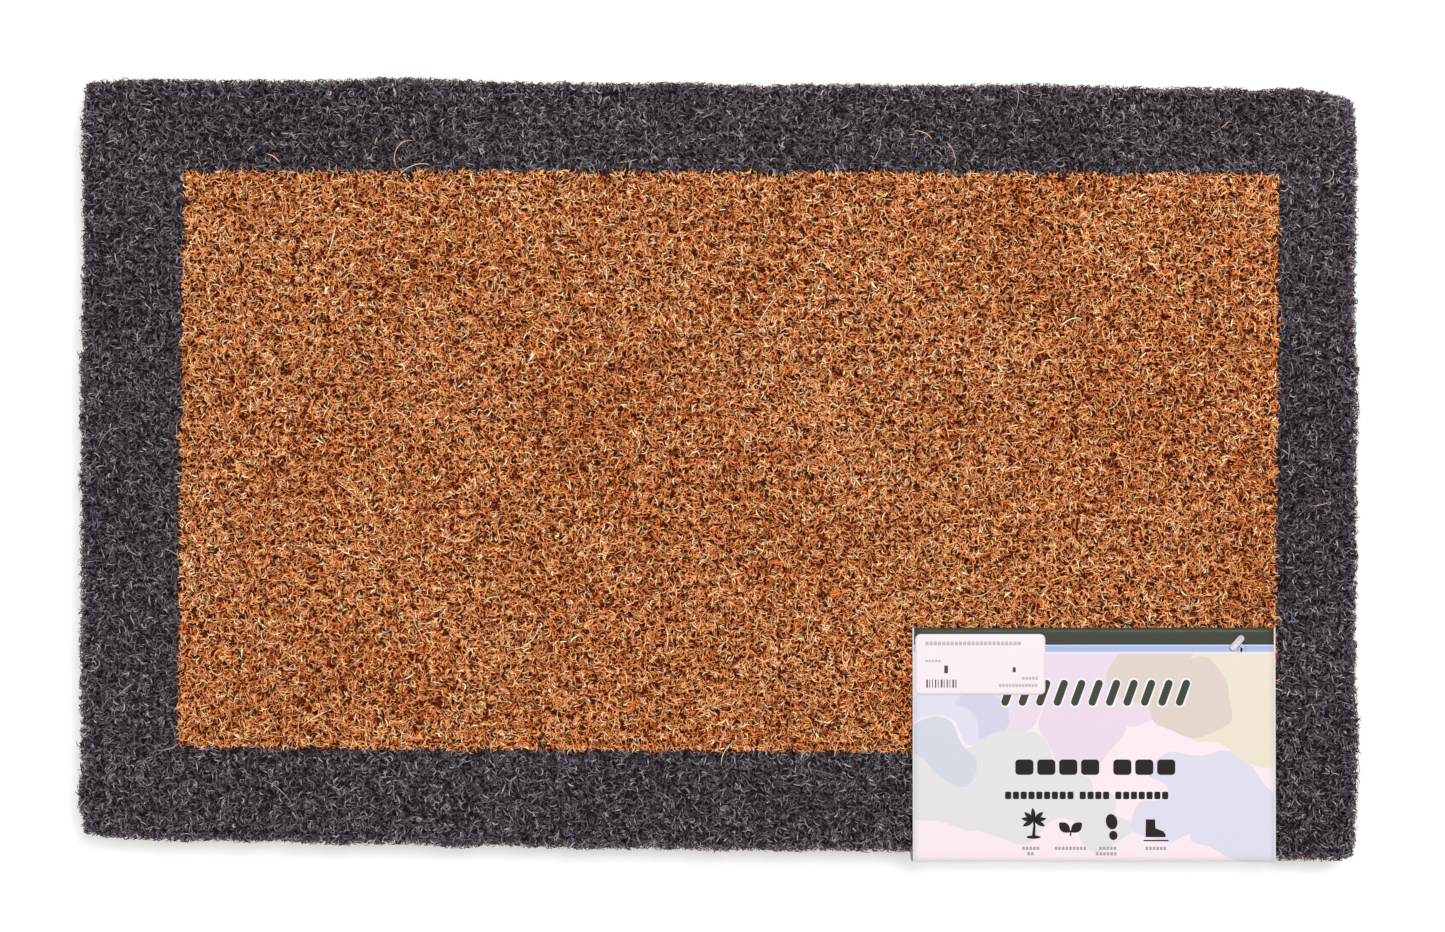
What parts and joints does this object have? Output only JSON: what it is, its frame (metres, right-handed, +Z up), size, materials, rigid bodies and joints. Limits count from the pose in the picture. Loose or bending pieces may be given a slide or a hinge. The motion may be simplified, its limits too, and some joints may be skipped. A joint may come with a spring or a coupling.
{
  "type": "door mat",
  "caption": "Rectangular woven coir door mat with a natural brown pile field inside a black dyed border, wrapped at its front edge by a folded retail card held with a tag pin.",
  "frame": {"origin": "middle of the mat's underside, on the floor; the card's fold stands about 5 mm past the front edge", "axes": "+X along the long side, +Y from the front edge, where the card is, to the back edge, +Z up through the pile"},
  "size_m": [0.75, 0.4561, 0.0242],
  "materials": {
    "coir_pile_natural": "matt cut coir fibre",
    "coir_pile_black": "matt cut coir fibre, dyed",
    "coir_weft": "matt spun coir yarn",
    "coir_warp": "matt spun coir yarn",
    "coir_hem": "matt spun coir cord",
    "lashing_twine": "matt twine",
    "printed_card": "satin printed card",
    "sticker_paper": "satin label paper",
    "tag_pin_plastic": "translucent nylon"
  },
  "bodies": {
    "mat": {"warp_chain_01": "coir_warp", "warp_chain_02": "coir_warp", "warp_chain_03": "coir_warp", "warp_chain_04": "coir_warp", "warp_chain_05": "coir_warp", "warp_chain_06": "coir_warp", "warp_chain_07": "coir_warp", "warp_chain_08": "coir_warp", "warp_chain_09": "coir_warp", "warp_chain_10": "coir_warp", "warp_chain_11": "coir_warp", "warp_chain_12": "coir_warp", "warp_chain_13": "coir_warp", "warp_chain_14": "coir_warp", "warp_chain_15": "coir_warp", "warp_chain_16": "coir_warp", "warp_chain_17": "coir_warp", "warp_chain_18": "coir_warp", "warp_chain_19": "coir_warp", "warp_chain_20": "coir_warp", "warp_chain_21": "coir_warp", "warp_chain_22": "coir_warp", "warp_chain_23": "coir_warp", "warp_chain_24": "coir_warp", "warp_chain_25": "coir_warp", "weft_ground": "coir_weft", "hem_cord_front": "coir_hem", "hem_cord_back": "coir_hem", "hem_twine_front": "lashing_twine", "hem_twine_back": "lashing_twine", "pile_centre": "coir_pile_natural", "pile_border_front": "coir_pile_black", "pile_border_back": "coir_pile_black", "pile_border_left": "coir_pile_black", "pile_border_right": "coir_pile_black", "label_card": "printed_card", "price_sticker": "sticker_paper"},
    "tag_pin": {"tag_pin": "tag_pin_plastic"}
  },
  "joints": [
    {"name": "tag_pin_swivel", "type": "hinge", "parent": "mat", "child": "tag_pin", "pos_m": [0.3076, -0.1031, 0], "axis": [0, 0, 1], "continuous": true}
  ]
}
